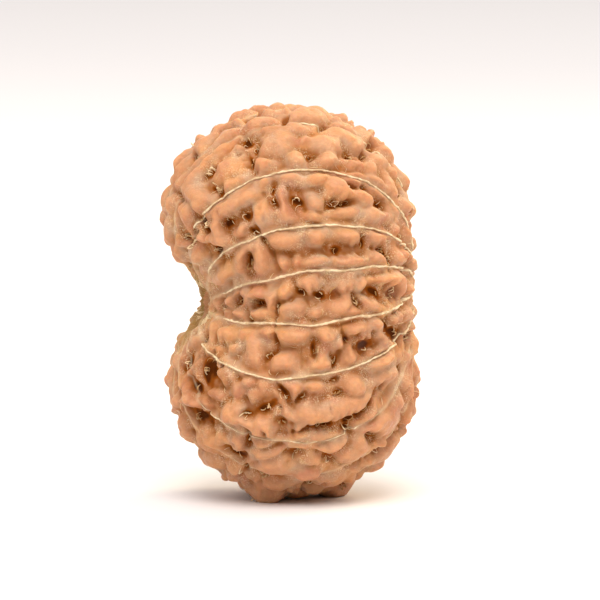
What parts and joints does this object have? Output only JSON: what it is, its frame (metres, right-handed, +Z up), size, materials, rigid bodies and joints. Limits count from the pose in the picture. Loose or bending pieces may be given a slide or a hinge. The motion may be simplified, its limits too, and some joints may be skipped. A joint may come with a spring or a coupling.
{
  "type": "rudraksha bead",
  "caption": "Tall, waisted seed bead of warm brown woody stone, covered in rounded lumps and dark pits, with fine raised seams running from end to end of its thread channel.",
  "frame": {"origin": "centre of the bead's box on the surface that it stands on", "axes": "+Z up, along the bead's longest side; +X along the thread channel, away from the notched side; -Y towards the side that the picture shows"},
  "size_m": [0.0223, 0.0248, 0.0337],
  "materials": {
    "bead": "waxy, dusty in the valleys"
  },
  "bodies": {
    "root": {"bead": "bead"}
  },
  "joints": []
}
